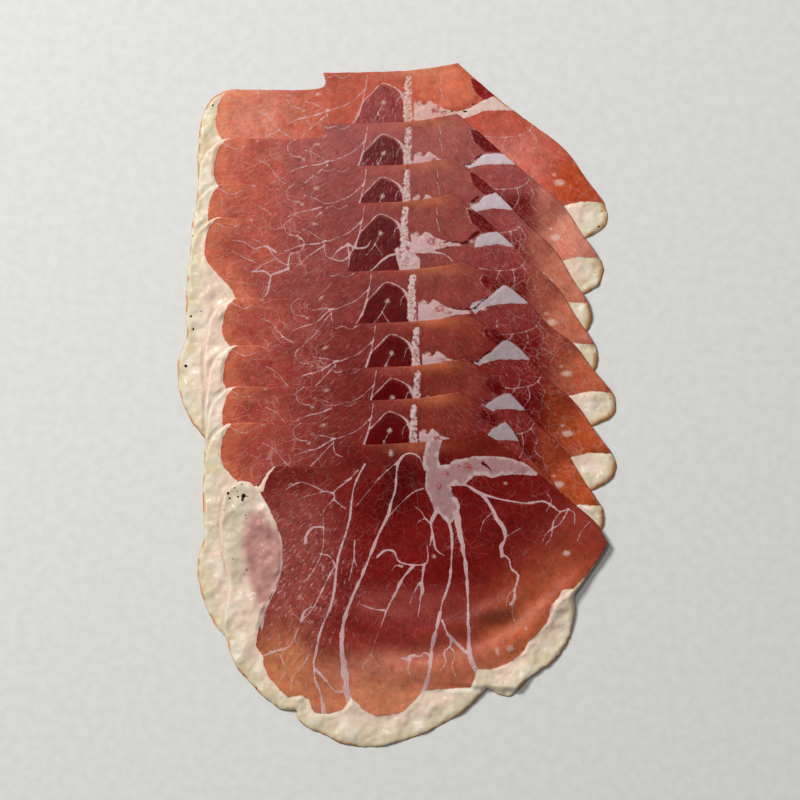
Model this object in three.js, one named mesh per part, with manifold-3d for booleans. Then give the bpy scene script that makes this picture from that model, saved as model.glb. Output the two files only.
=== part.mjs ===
// Nine thin slices of culatello, a dry-cured ham, laid one over the next like shingles.
// Each slice is one piece: red meat with a rim of cream fat on its left side, along its foot
// and at its right-hand tip. The first slice lies flat on the table at the back. Every later
// slice lies a little further forward, drapes over the ones beneath it and comes down to the
// table along its foot. The front slice shows whole. Its fat is ruffled, its right-hand tip is
// folded under, and soft waves and a pleat run near its foot.
// Millimetres, +Z up, +Y towards the back. The origin is under the middle of the stack.
import * as THREE from "three";
import { mergeVertices } from "three/addons/utils/BufferGeometryUtils.js";
import Module from "manifold-3d";

const wasm = await Module();
wasm.setup();

// Driving sizes
const THICKNESS = 0.8; // of one slice
const GAP = 0.3; // left between one slice and the next
const LAYER = THICKNESS + GAP;
const HOLD_OFF = 2; // a slice keeps its height this far past the rim of one beneath it
const SKIRT = 17; // and comes down by one layer over this distance
const CURVE_STEPS = 3; // straight steps between two points of a curved edge
const CELL = 10; // side of a cell of the lattice that all the draped surfaces share
const FRONT_CELL = CELL / 2; // and of the finer one in the front slice
const FLAT_CELL = 400; // the first slice is flat and needs no lattice
const CUT_LOW = -5; // the outlines cut from here
const CUT_HIGH = 30; // to here

// Where the seam of fat meets the top edge of each slice (x, y). How wide its right side is and
// how low its tip hangs, as shares of the pattern's. How far its left side is moved out (left)
// and bulges (bulge), how far its right edge swells out near its top (shoulder) and how much
// lower the left part of its top edge lies (sink).
const SLICES = [
  { x: 5.2, y: 133.8, width: 1, drop: 1, left: 0, bulge: 0, shoulder: 0.4, sink: 0 },
  { x: 5.2, y: 113.4, width: 0.975, drop: 1.035, left: 0.6, bulge: 0, shoulder: 1.6, sink: -0.8 },
  { x: 4.8, y: 96.2, width: 0.925, drop: 1.05, left: 2.6, bulge: 0, shoulder: 2.8, sink: 0 },
  { x: 4.0, y: 81.4, width: 0.965, drop: 1.08, left: 3, bulge: 4.6, shoulder: 2.2, sink: -1.2 },
  { x: 6.8, y: 54.2, width: 1.02, drop: 0.93, left: -1.2, bulge: 0, shoulder: 7.5, sink: 3.6 },
  { x: 8.4, y: 33.4, width: 1, drop: 1, left: 0, bulge: 0, shoulder: 6.4, sink: 1.8 },
  { x: 8.8, y: 15.8, width: 0.935, drop: 1.06, left: 0.8, bulge: 0, shoulder: 4.2, sink: 0.6 },
  { x: 7.6, y: 2.6, width: 0.86, drop: 1, left: 0.2, bulge: 2.8, shoulder: 7.8, sink: 1.8 },
  { x: 15.6, y: -14.2, width: 1, drop: 1, left: 0, bulge: 0, shoulder: 0, sink: 0 },
];
const FRONT = SLICES.length - 1;
const MIDDLE = { x: 0.93, y: -0.07 }; // of the whole stack, as the places above are measured
const RIGHT_SIDE = [20, 60]; // the tip is lowered in full past the second of these widths
const LEFT_SIDE = [50, 75]; // and the left side is moved in full past the second of these
const BULGE = { y: -76, reach: 44 }; // its middle, measured from the seam's top, and half length
const SHOULDER = { y: -9.5, reach: 17.5, full: 30 }; // likewise, and the width where it is full
const SINK_SIDE = [32, 40]; // the left part is lowered in full past the second of these widths
const SINK_FADE = [12, 60]; // and not at all further than this below the seam's top

// The outline that the slices share, measured from the seam's top: clockwise stretches, each a
// smooth curve between two corners
const TOP_EDGE = [[-33.6, -1], [0, 0], [20, 3]];
const RIGHT_EDGE = [
  [20, 3], [34.4, -10], [46.4, -19], [62.4, -31], [71.2, -43], [79.6, -55], [78.2, -63.4],
  [66, -70], [58, -78], [54.4, -85.6],
];
const FOOT = [
  [54.4, -85.6], [33.6, -100], [5.6, -114.4], [-28, -121.8], [-53.6, -112], [-70.4, -99.2],
];
const LEFT_EDGE = [
  [-70.4, -99.2], [-79, -87], [-83.6, -68], [-82, -54], [-84, -38], [-81.6, -17], [-75, -9],
  [-68.8, -7.6],
];
const STEP = [[-68.8, -7.6], [-36, -7.2], [-33.6, -1]];

// The front slice's own outline. The straight fold shows where its right-hand tip is turned
// under, and there is a small notch beside its foot.
const FRONT_TOP = [[-36.4, -2], [0, 0], [20, 3.6]];
const FRONT_RIGHT = [[20, 3.6], [36, -8.4], [53.2, -22.8], [64, -32], [69.6, -40.8]];
const FOLD = [[69.6, -40.8], [65.2, -48.8], [56.2, -61.2]];
const FRONT_LOBE = [
  [56.2, -61.2], [56.4, -71], [50.4, -85.8], [36.4, -96.2], [30.4, -102.4], [21.2, -98.8],
];
const FRONT_FOOT = [
  [21.2, -98.8], [12, -108.4], [-2.4, -116.4], [-21, -122.4], [-34.4, -121.4], [-47.6, -116],
  [-54, -111.6], [-54.8, -108],
];
const FRONT_LEFT = [
  [-54.8, -108], [-61, -107.4], [-71.2, -99.2], [-80, -88.4], [-83.6, -73.2], [-81.6, -54],
  [-85, -38], [-83, -21], [-77.6, -16.2],
];
const FRONT_HORN = [
  [-77.6, -16.2], [-73, -16.8], [-71.2, -18.2], [-69.6, -16.6], [-66.2, -12.2], [-64, -10],
];
const FRONT_STEP = [[-64, -10], [-39.2, -9.6], [-36.4, -2]];

// Waves of the front slice: rings round a point beside the seam, strongest round their middle
// and gone above a height below the seam
const RING = { x: -5.6, y: -23.6, crest: 52.5, length: 16, height: 0.9, fade: 15 };
const RING_TOP = [-68, -52];
// The pleat of the front slice: what lies behind the line from its mouth to its end is lifted
const PLEAT = { mouth: [21.2, -98.8], end: [-4, -97], lift: 1.9, width: 3, fade: 13 };
// Ruffles of the front slice's fat, counted round a point in its middle
const RUFFLE = { x: -6, y: -62, count: 24, height: 0.6, reach: 13, top: [-34, -20] };
const FOLD_REACH = 14; // how far the tip that is turned under reaches beneath the slice

const clamp01 = (t) => Math.min(1, Math.max(0, t));
const smoothstep = (low, high, v) => {
  const t = clamp01((v - low) / (high - low));
  return t * t * (3 - 2 * t);
};

// Straight steps along smooth curves through each stretch, joined at their ends.
function joinStretches(stretches) {
  const points = [];
  for (const stretch of stretches) {
    const curve = new THREE.SplineCurve(stretch.map(([x, y]) => new THREE.Vector2(x, y)));
    const steps = (stretch.length - 1) * CURVE_STEPS;
    points.push(...curve.getPoints(steps).slice(0, -1));
  }
  return points;
}

const PATTERN = joinStretches([TOP_EDGE, RIGHT_EDGE, FOOT, LEFT_EDGE, STEP]);
const FRONT_PATTERN = joinStretches([
  FRONT_TOP, FRONT_RIGHT, FOLD, FRONT_LOBE, FRONT_FOOT, FRONT_LEFT, FRONT_HORN, FRONT_STEP,
]);

// Where the seam meets the top edge of a slice, in the stack's own frame.
function seamOf(index) {
  return new THREE.Vector2(SLICES[index].x - MIDDLE.x, SLICES[index].y - MIDDLE.y);
}

// The outline of one slice in the stack's own frame.
function outlineOf(index) {
  const { width, drop, left, bulge, shoulder, sink } = SLICES[index];
  const seam = seamOf(index);
  return (index === FRONT ? FRONT_PATTERN : PATTERN).map(({ x, y }) => {
    const high = 1 - smoothstep(0, SHOULDER.reach, Math.abs(y - SHOULDER.y));
    const swell = shoulder * high * smoothstep(0, SHOULDER.full, x);
    const near = 1 - smoothstep(0, BULGE.reach, Math.abs(y - BULGE.y));
    const out = (left + bulge * near) * smoothstep(...LEFT_SIDE, -x);
    const across = (x > 0 ? x * width : x) + swell - out;
    const lower = y * (1 + (drop - 1) * smoothstep(...RIGHT_SIDE, x));
    const sunk = sink * smoothstep(...SINK_SIDE, -x) * (1 - smoothstep(...SINK_FADE, -y));
    return new THREE.Vector2(seam.x + across, seam.y + lower - sunk);
  });
}

// How far a point lies from a straight piece of edge.
function distanceToEdge(x, y, a, b) {
  const along = ((x - a.x) * (b.x - a.x) + (y - a.y) * (b.y - a.y)) / a.distanceToSquared(b);
  const t = clamp01(along);
  return Math.hypot(x - a.x - t * (b.x - a.x), y - a.y - t * (b.y - a.y));
}

// How far a point lies outside an outline, negative inside it.
function distanceOutside(x, y, outline) {
  let nearest = Infinity;
  let inside = false;
  outline.forEach((a, i) => {
    const b = outline[(i + 1) % outline.length];
    nearest = Math.min(nearest, distanceToEdge(x, y, a, b));
    const crosses = a.y > y !== b.y > y;
    if (crosses && x < a.x + ((y - a.y) * (b.x - a.x)) / (b.y - a.y)) inside = !inside;
  });
  return inside ? -nearest : nearest;
}

const outlines = SLICES.map((_, index) => outlineOf(index));

// The rings of soft waves, at a point measured from the front slice's own seam.
function ringWaves(x, y) {
  const past = Math.hypot(x - RING.x, y - RING.y) - RING.crest;
  const strength = Math.exp(-(((past - RING.length / 2) / RING.fade) ** 2));
  const low = 1 - smoothstep(...RING_TOP, y);
  return RING.height * (1 + Math.cos((2 * Math.PI * past) / RING.length)) * strength * low;
}

// The pleat, whose step grows from its end to its mouth and settles behind it.
function pleat(x, y) {
  const [endX, endY] = PLEAT.end;
  const run = new THREE.Vector2(PLEAT.mouth[0] - endX, PLEAT.mouth[1] - endY);
  const along = ((x - endX) * run.x + (y - endY) * run.y) / run.lengthSq();
  const behind = (run.x * (y - endY) - run.y * (x - endX)) / run.length();
  const step = smoothstep(-PLEAT.width / 2, PLEAT.width / 2, behind);
  return PLEAT.lift * smoothstep(0, 1, along) * step * (1 - smoothstep(0, PLEAT.fade, behind));
}

// The ruffles of the fat, which die away from the rim inwards and towards the slice's top.
function ruffles(x, y, inwards) {
  const turn = Math.atan2(y - RUFFLE.y, x - RUFFLE.x);
  const edge = 1 - smoothstep(0, RUFFLE.reach, inwards);
  const low = 1 - smoothstep(...RUFFLE.top, y);
  return (RUFFLE.height / 2) * (1 + Math.sin(RUFFLE.count * turn)) * edge * low;
}

// How much the front slice rises above where it would lie without its waves.
function frontRelief(x, y) {
  const seam = seamOf(FRONT);
  const ownX = x - seam.x;
  const ownY = y - seam.y;
  const inwards = -distanceOutside(x, y, outlines[FRONT]);
  return ringWaves(ownX, ownY) + pleat(ownX, ownY) + ruffles(ownX, ownY, inwards);
}

// The front slice is twice as thick where its tip is folded under.
function thicknessAt(index, x, y) {
  if (index !== FRONT) return THICKNESS;
  const corners = FOLD.map(([foldX, foldY]) => new THREE.Vector2(foldX, foldY).add(seamOf(FRONT)));
  const away = Math.min(
    distanceToEdge(x, y, corners[0], corners[1]),
    distanceToEdge(x, y, corners[1], corners[2]),
  );
  return THICKNESS * (2 - smoothstep(0, FOLD_REACH, away));
}

// The height under a slice: one layer for each slice beneath the point, which falls away
// smoothly past that slice's rim.
function layersUnder(index, x, y) {
  return outlines
    .slice(0, index)
    .map((outline) => 1 - smoothstep(HOLD_OFF, HOLD_OFF + SKIRT, distanceOutside(x, y, outline)))
    .reduce((sum, layer) => sum + LAYER * layer, 0);
}

// That height on the shared lattice, each cell of which is two flat triangles. All the slices
// bend along the same lines, so that no two meet.
function drape(index, x, y) {
  const column = Math.floor(x / CELL);
  const row = Math.floor(y / CELL);
  const right = x / CELL - column;
  const back = y / CELL - row;
  const corner = (i, j) => layersUnder(index, (column + i) * CELL, (row + j) * CELL);
  const long = Math.max(right, back);
  const short = Math.min(right, back);
  const side = right > back ? corner(1, 0) : corner(0, 1);
  return corner(0, 0) * (1 - long) + side * (long - short) + corner(1, 1) * short;
}

// Lattice lines from just before a stretch to just past it.
function linesOver(low, high, cell) {
  const lines = [];
  for (let n = Math.floor(low / cell) - 1; (n - 1) * cell < high; n += 1) lines.push(n * cell);
  return lines;
}

// A wavy sheet over the box of an outline, wider than it on every side.
function sheetOver(index) {
  const box = new THREE.Box2().setFromPoints(outlines[index]);
  const laterCell = index === FRONT ? FRONT_CELL : CELL;
  const cell = index === 0 ? FLAT_CELL : laterCell;
  const xs = linesOver(box.min.x, box.max.x, cell);
  const ys = linesOver(box.min.y, box.max.y, cell);
  const below = [];
  const above = [];
  for (const y of ys) {
    for (const x of xs) {
      const low = drape(index, x, y) + (index === FRONT ? frontRelief(x, y) : 0);
      below.push(x, y, low);
      above.push(x, y, low + thicknessAt(index, x, y));
    }
  }
  const at = (side, j, i) => (side * ys.length + j) * xs.length + i;
  const faces = [];
  const quad = (a, b, c, d) => faces.push(a, b, c, a, c, d);
  const lastX = xs.length - 1;
  const lastY = ys.length - 1;
  for (let j = 0; j < lastY; j += 1) {
    for (let i = 0; i < lastX; i += 1) {
      quad(at(1, j, i), at(1, j, i + 1), at(1, j + 1, i + 1), at(1, j + 1, i));
      quad(at(0, j, i), at(0, j + 1, i), at(0, j + 1, i + 1), at(0, j, i + 1));
    }
  }
  for (let i = 0; i < lastX; i += 1) {
    quad(at(0, 0, i), at(0, 0, i + 1), at(1, 0, i + 1), at(1, 0, i));
    quad(at(0, lastY, i + 1), at(0, lastY, i), at(1, lastY, i), at(1, lastY, i + 1));
  }
  for (let j = 0; j < lastY; j += 1) {
    quad(at(0, j + 1, 0), at(0, j, 0), at(1, j, 0), at(1, j + 1, 0));
    quad(at(0, j, lastX), at(0, j + 1, lastX), at(1, j + 1, lastX), at(1, j, lastX));
  }
  return new THREE.BufferGeometry()
    .setAttribute("position", new THREE.Float32BufferAttribute([...below, ...above], 3))
    .setIndex(faces);
}

// A closed three.js geometry as a solid that can be cut.
function solidOf(geometry) {
  const bare = geometry.clone();
  bare.deleteAttribute("normal");
  bare.deleteAttribute("uv");
  const merged = mergeVertices(bare, 1e-4);
  return new wasm.Manifold(
    new wasm.Mesh({
      numProp: 3,
      vertProperties: new Float32Array(merged.attributes.position.array),
      triVerts: new Uint32Array(merged.index.array),
    }),
  );
}

// A solid as a three.js geometry with flat faces.
function geometryOf(solid) {
  const mesh = solid.getMesh();
  return new THREE.BufferGeometry()
    .setAttribute("position", new THREE.BufferAttribute(mesh.vertProperties, 3))
    .setIndex(new THREE.BufferAttribute(mesh.triVerts, 1))
    .toNonIndexed();
}

// One slice: its wavy sheet cut straight down along its outline.
function sliceGeometry(index) {
  const cutter = new THREE.ExtrudeGeometry(new THREE.Shape(outlines[index]), {
    depth: CUT_HIGH - CUT_LOW,
    bevelEnabled: false,
  });
  cutter.translate(0, 0, CUT_LOW);
  return geometryOf(solidOf(sheetOver(index)).intersect(solidOf(cutter)));
}

const stack = new THREE.Group();
stack.name = "culatello";
SLICES.forEach((_, index) => {
  const meat = new THREE.MeshStandardMaterial({
    color: new THREE.Color(0.36, 0.07, 0.045),
    roughness: 0.42,
    metalness: 0,
  });
  const slice = new THREE.Mesh(sliceGeometry(index), meat);
  slice.name = `slice_${index + 1}`;
  stack.add(slice);
});

export default stack;
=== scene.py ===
"""Nine thin slices of culatello, shingled in a row and draped one over the next."""

import math

import bpy
import numpy as np
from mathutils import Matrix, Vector
from mathutils.geometry import delaunay_2d_cdt


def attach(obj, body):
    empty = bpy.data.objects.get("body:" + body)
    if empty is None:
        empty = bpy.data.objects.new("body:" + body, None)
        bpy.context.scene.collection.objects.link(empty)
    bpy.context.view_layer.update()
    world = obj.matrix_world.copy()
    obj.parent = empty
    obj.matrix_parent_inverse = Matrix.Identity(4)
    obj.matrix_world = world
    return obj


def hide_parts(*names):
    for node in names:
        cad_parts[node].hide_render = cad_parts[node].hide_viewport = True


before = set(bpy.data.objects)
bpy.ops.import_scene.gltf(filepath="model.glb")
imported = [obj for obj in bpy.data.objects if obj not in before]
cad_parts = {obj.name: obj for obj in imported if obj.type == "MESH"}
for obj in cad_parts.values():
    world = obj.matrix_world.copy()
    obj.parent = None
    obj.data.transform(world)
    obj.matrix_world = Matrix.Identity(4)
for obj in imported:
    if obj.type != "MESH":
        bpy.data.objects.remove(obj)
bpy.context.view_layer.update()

# Sizes are in millimetres. A slice's own place is measured from its seam, x right and y up.
MM = 0.001
PIXEL = 0.4  # size of one photo pixel on the slices

THICKNESS = 0.9
LAYER = 1.1
HOLD_OFF = 2
SKIRT = 17

# Each slice's seam, and how its outline departs from the common one.
SLICE_VALUES = ("x", "y", "width", "drop", "left", "bulge", "shoulder", "sink")
SLICES = [
    dict(zip(SLICE_VALUES, values))
    for values in (
        (4.27, 133.87, 1, 1, 0, 0, 0.4, 0),
        (4.27, 113.47, 0.975, 1.035, 0.6, 0, 1.6, -0.8),
        (3.87, 96.27, 0.925, 1.05, 2.6, 0, 2.8, 0),
        (3.07, 81.47, 0.965, 1.08, 3.0, 4.6, 2.2, -1.2),
        (5.87, 54.27, 1.02, 0.93, -1.2, 0, 7.5, 3.6),
        (7.47, 33.47, 1, 1, 0, 0, 6.4, 1.8),
        (7.87, 15.87, 0.935, 1.06, 0.8, 0, 4.2, 0.6),
        (6.67, 2.67, 0.86, 1, 0.2, 2.8, 7.8, 1.8),
        (14.67, -14.13, 1, 1, 0, 0, 0, 0),
    )
]
FRONT = len(SLICES) - 1
RIGHT_SIDE = (20, 60)
LEFT_SIDE = (50, 75)
BULGE_Y = -76
BULGE_REACH = 44
SHOULDER_Y = -9.5
SHOULDER_REACH = 17.5
SHOULDER_FULL = 30
SINK_SIDE = (32, 40)
SINK_FADE = (12, 60)

# The common outline, clockwise from the left end of its top edge.
TOP_EDGE = ((-33.6, -1), (0, 0), (20, 3))
RIGHT_EDGE = ((20, 3), (34.4, -10), (46.4, -19), (62.4, -31), (71.2, -43), (79.6, -55),
              (78.2, -63.4), (66, -70), (58, -78), (54.4, -85.6))
FOOT = ((54.4, -85.6), (33.6, -100), (5.6, -114.4), (-28, -121.8), (-53.6, -112), (-70.4, -99.2))
LEFT_EDGE = ((-70.4, -99.2), (-79, -87), (-83.6, -68), (-82, -54), (-84, -38), (-81.6, -17),
             (-75, -9), (-68.8, -7.6))
STEP = ((-68.8, -7.6), (-36, -7.2), (-33.6, -1))

# The front slice's outline, clockwise from the same corner.
FRONT_TOP = ((-36.4, -2), (0, 0), (20, 3.6))
FRONT_RIGHT = ((20, 3.6), (36, -8.4), (53.2, -22.8), (64, -32), (69.6, -40.8))
FOLD = ((69.6, -40.8), (65.2, -48.8), (56.2, -61.2))
FRONT_LOBE = ((56.2, -61.2), (56.4, -71), (50.4, -85.8), (36.4, -96.2), (30.4, -102.4), (21.2, -98.8))
FRONT_FOOT = ((21.2, -98.8), (12, -108.4), (-2.4, -116.4), (-21, -122.4), (-34.4, -121.4),
              (-47.6, -116), (-54, -111.6), (-54.8, -108))
FRONT_LEFT = ((-54.8, -108), (-61, -107.4), (-71.2, -99.2), (-80, -88.4), (-83.6, -73.2),
              (-81.6, -54), (-85, -38), (-83, -21), (-77.6, -16.2))
FRONT_HORN = ((-77.6, -16.2), (-73, -16.8), (-71.2, -18.2), (-69.6, -16.6), (-66.2, -12.2), (-64, -10))
FRONT_STEP = ((-64, -10), (-39.2, -9.6), (-36.4, -2))

COMMON_SIDES = (TOP_EDGE, RIGHT_EDGE, FOOT, LEFT_EDGE, STEP)
FRONT_SIDES = (FRONT_TOP, FRONT_RIGHT, FOLD, FRONT_LOBE, FRONT_FOOT, FRONT_LEFT, FRONT_HORN, FRONT_STEP)

# Waves, pleat and ruffles of the front slice.
RING = {"x": -5.6, "y": -23.6, "crest": 52.5, "length": 16, "height": 0.9, "fade": 15}
RING_TOP = (-68, -52)
PLEAT = {"mouth": (21.2, -98.8), "end": (-4, -97), "lift": 1.9, "width": 3, "fade": 13}
RUFFLE = {"x": -6, "y": -62, "count": 24, "height": 0.6, "reach": 13, "top": (-34, -20)}
FOLD_REACH = 14
TURNS_BACK = 8  # rounds in which a place on the table is turned back into a slice's own

# Mesh sizes.
CURVE_STEPS = 12
ROUGH_STEPS = 3
EDGE_STEP = 0.45
FINE_CELL = 0.46
HIDDEN_CELL = 1.7
UNDER_CELL = 2.2
EXACT_REACH = 2.6
OUTSIDE = -99.0  # depth at a place that no slice reaches
RIM_RINGS = (0.07, 0.2, 0.45, 0.85, 1.3)
MARK_SPACING = 0.22
MARK_CLEARANCE = 0.2
VEIN_SPACING = 0.45
# Each kind of point's gap from the last rim ring. Then the distance from the slices on top, below
# nothing where they cover it, down to which marks and fine points go and from which coarse ones do.
RING_GAPS = {"marks": 0.2, "fine": 0.25, "coarse": 0.6}
COVERS = {"marks": -1, "fine": -1.5, "coarse": -1.8}
SPOT_SIDES = 6
SPOT_RINGS = (0.6, 1.15)
SAME_PLACE = 1e-5  # gap below which the triangulation joins two points
SQUARE_ROW = 100003  # more than the small squares in a row
# The cut edge's unevenness: size of lumps, height in meat, more of it in fat, and own seed.
CUT_EDGE = ((3.4, 0.1, 0.2, 0), (1.2, 0.06, 0.06, 20))
MEAT_RIM = 0.35
FAT_RIM = 2.2
FAT_SWELL = 0.25
VEIN_SWELL = 0.05
INNER_SWELL = 0.12
LUMPS = ((6.0, 0.6), (3.0, 0.36), (1.4, 0.12))
# The fibres' pattern: its middle, how fine it is round and outwards, and how slices differ in it.
GRAIN = {"y": 12, "turns": 45, "rings": 0.14, "shift": 3.7}
NET_SHARE = 0.62
NET_NEAR_VEINS = 0.08
CEILING = 7.8
CEILING_REST = 0.45
SEED = 7  # each noise adds a number of its own to it
NOISE_CELLS = 97


def smoothstep(low, high, value):
    t = np.clip((value - low) / (high - low), 0, 1)
    return t * t * (3 - 2 * t)


def from_photo(*points):
    """Places in photo pixels from a slice's seam, y down, as the slice's own millimetres."""
    return np.array(points, float) * (PIXEL, -PIXEL)


FRONT_SEAM_PIXEL = (433.5, 440.5)


def on_front(*points):
    """Places on the front slice in the photo's own pixels, as the slice's own millimetres."""
    return from_photo(*(np.array(points, float) - FRONT_SEAM_PIXEL))


PHOTO_MIDDLE = (396.825, 405.175)


def on_table(*points):
    """Places in the photo's own pixels as places on the table."""
    return from_photo(*(np.array(points, float) - PHOTO_MIDDLE))


def curve(points, steps):
    """A smooth curve through the points, with that many steps between each two."""
    p = np.array(points, float)
    p = np.vstack([p[:1], p, p[-1:]])
    t = np.linspace(0, 1, steps, endpoint=False)[:, None]
    pieces = []
    for a, b, c, d in zip(p, p[1:], p[2:], p[3:]):
        start, end = (c - a) / 2, (d - b) / 2
        cubic = 2 * b - 2 * c + start + end
        square = 3 * c - 3 * b - 2 * start - end
        pieces.append(((cubic * t + square) * t + start) * t + b)
    return np.vstack([*pieces, p[-1:]])


def closed_curve(sides, steps):
    return np.vstack([curve(side, steps)[:-1] for side in sides])


def resampled(path, spacing, closed=False):
    """The same path with even spacing."""
    if closed:
        path = np.vstack([path, path[:1]])
    lengths = np.concatenate([[0], np.cumsum(np.hypot(*np.diff(path, axis=0).T))])
    count = max(2, int(round(lengths[-1] / spacing)))
    at = np.linspace(0, lengths[-1], count + 1)[: count if closed else count + 1]
    return np.stack([np.interp(at, lengths, path[:, axis]) for axis in (0, 1)], 1)


def distance_to(points, path):
    """Distance of each point from the path, and how far along it, 0 to 1, the nearest place is."""
    best = np.full(len(points), 1e9)
    along = np.zeros(len(points))
    spans = np.hypot(*np.diff(path, axis=0).T)
    done = 0.0
    for a, b, span in zip(path, path[1:], spans):
        if span == 0:
            continue
        way = (b - a) / span
        reach = np.clip((points - a) @ way, 0, span)
        gap = points - a - reach[:, None] * way
        away = gap[:, 0] ** 2 + gap[:, 1] ** 2
        nearer = away < best
        best[nearer] = away[nearer]
        along[nearer] = done + reach[nearer]
        done += span
    return np.sqrt(best), along / max(done, 1e-9)


def depth_in(points, loop):
    """Distance inside a closed loop; outside it, the number is negative."""
    ring = np.vstack([loop, loop[:1]])
    away, _ = distance_to(points, ring)
    inside = np.zeros(len(points), bool)
    x, y = points.T
    for (ax, ay), (bx, by) in zip(ring, ring[1:]):
        if ay != by:
            inside ^= ((ay > y) != (by > y)) & (x < (bx - ax) * (y - ay) / (by - ay) + ax)
    return np.where(inside, away, -away)


GRID_CORNER = (-100, -150)
GRID_COUNT = (201, 301)


def depth_grid(loop):
    """Distance inside a loop at the places of a 1 mm grid."""
    x, y = np.meshgrid(*(np.arange(n) + low for n, low in zip(GRID_COUNT, GRID_CORNER)), indexing="ij")
    return depth_in(np.stack([x.ravel(), y.ravel()], 1).astype(float), loop).reshape(GRID_COUNT)


def depth_on_grid(points, grid):
    """Distance inside the loop, read between the places of its grid."""
    at = np.clip(points - GRID_CORNER, 0, np.array(GRID_COUNT) - 1.001)
    i, j = np.floor(at).astype(int).T
    u, v = (at - np.floor(at)).T
    near = grid[i, j] * (1 - u) + grid[i + 1, j] * u
    return near * (1 - v) + (grid[i, j + 1] * (1 - u) + grid[i + 1, j + 1] * u) * v


def soft_noise(points, size, seed):
    """Smooth noise between -1 and 1, with lumps of about that size."""
    grid = np.random.default_rng(seed).uniform(-1, 1, (NOISE_CELLS, NOISE_CELLS))
    at = points / size
    cell = np.floor(at).astype(int)
    part = at - cell
    part = part * part * (3 - 2 * part)
    i, j = cell.T
    u, v = part.T
    corner = lambda a, b: grid[(i + a) % NOISE_CELLS, (j + b) % NOISE_CELLS]
    return (corner(0, 0) * (1 - u) + corner(1, 0) * u) * (1 - v) + (
        corner(0, 1) * (1 - u) + corner(1, 1) * u
    ) * v


def right_swell(s, x, y):
    """How far a slice's right side swells out near its top."""
    high = 1 - smoothstep(0, SHOULDER_REACH, abs(y - SHOULDER_Y))
    return s["shoulder"] * high * smoothstep(0, SHOULDER_FULL, x)


def left_shift(s, x, y):
    """How far a slice's left side is moved out."""
    bulge = s["bulge"] * (1 - smoothstep(0, BULGE_REACH, abs(y - BULGE_Y)))
    return (s["left"] + bulge) * smoothstep(*LEFT_SIDE, -x)


def left_sink(s, x, y):
    """How much lower the top of a slice's left side lies."""
    return s["sink"] * smoothstep(*SINK_SIDE, -x) * (1 - smoothstep(*SINK_FADE, -y))


def placed(k, own):
    """A slice's own places as places on the table."""
    s = SLICES[k]
    x, y = own.T
    wide = np.where(x > 0, x * s["width"], x) - left_shift(s, x, y)
    down = y * (1 + (s["drop"] - 1) * smoothstep(*RIGHT_SIDE, x)) - left_sink(s, x, y)
    return np.stack([s["x"] + wide, s["y"] + down], 1)


def own_place(k, points):
    """Places on the table as the slice's own places."""
    s = SLICES[k]
    across, down = (points - (s["x"], s["y"])).T
    x, y = across, down
    for _ in range(TURNS_BACK):
        wide = across + left_shift(s, x, y)
        y = (down + left_sink(s, x, y)) / (1 + (s["drop"] - 1) * smoothstep(*RIGHT_SIDE, x))
        x = np.where(wide > 0, wide / s["width"], wide)
    return np.stack([x, y], 1)


def outline(k, steps):
    own = closed_curve(FRONT_SIDES if k == FRONT else COMMON_SIDES, steps)
    places = placed(k, own)
    places[:, 0] += right_swell(SLICES[k], *own.T)
    return places


GRIDS = [depth_grid(outline(k, ROUGH_STEPS)) for k in range(len(SLICES))]


def depth_in_slice(k, points, loop):
    """Distance inside slice k's uneven outline, exact near it."""
    depth = depth_on_grid(points, GRIDS[k])
    near = abs(depth) < EXACT_REACH
    depth[near] = depth_in(points[near], loop)
    return depth


def depth_in_any(points, grids):
    """Distance inside whichever slice of those grids reaches furthest round each point."""
    far = np.full(len(points), OUTSIDE)
    return np.maximum.reduce([far, *(depth_on_grid(points, grid) for grid in grids)])


def layers_under(k, points):
    """Height of the slices that lie under slice k."""
    height = np.zeros(len(points))
    for lower in GRIDS[:k]:
        height += LAYER * (1 - smoothstep(HOLD_OFF, HOLD_OFF + SKIRT, -depth_on_grid(points, lower)))
    return height


def ring_waves(own):
    past = np.hypot(own[:, 0] - RING["x"], own[:, 1] - RING["y"]) - RING["crest"]
    swell = RING["height"] * (1 + np.cos(2 * math.pi * past / RING["length"]))
    fade = np.exp(-(((past - RING["length"] / 2) / RING["fade"]) ** 2))
    return swell * fade * (1 - smoothstep(*RING_TOP, own[:, 1]))


def pleat(own):
    mouth, end = np.array(PLEAT["mouth"]), np.array(PLEAT["end"])
    length = math.dist(mouth, end)
    way = (mouth - end) / length
    along = (own - end) @ way / length
    behind = (own - end) @ np.array([-way[1], way[0]])
    rise = smoothstep(-PLEAT["width"] / 2, PLEAT["width"] / 2, behind)
    return PLEAT["lift"] * smoothstep(0, 1, along) * rise * (1 - smoothstep(0, PLEAT["fade"], behind))


def ruffles(own, inwards):
    turn = np.arctan2(own[:, 1] - RUFFLE["y"], own[:, 0] - RUFFLE["x"])
    swell = RUFFLE["height"] / 2 * (1 + np.sin(RUFFLE["count"] * turn))
    return swell * (1 - smoothstep(0, RUFFLE["reach"], inwards)) * (1 - smoothstep(*RUFFLE["top"], own[:, 1]))


# Where the common slice's meat ends and its rim of fat starts.
MEAT_EDGE = from_photo(
    (-172, -40), (-172, 18), (-181, 21), (-187, 28), (-190, 36), (-192, 47), (-192, 56), (-189, 64),
    (-182, 73), (-173, 82), (-166, 91), (-160, 110), (-166, 150), (-152, 200), (-120, 242),
    (-60, 268), (0, 262), (50, 238), (90, 200), (120, 168), (154, 136), (174, 131), (192, 132),
    (230, 134), (230, -60),
)
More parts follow.
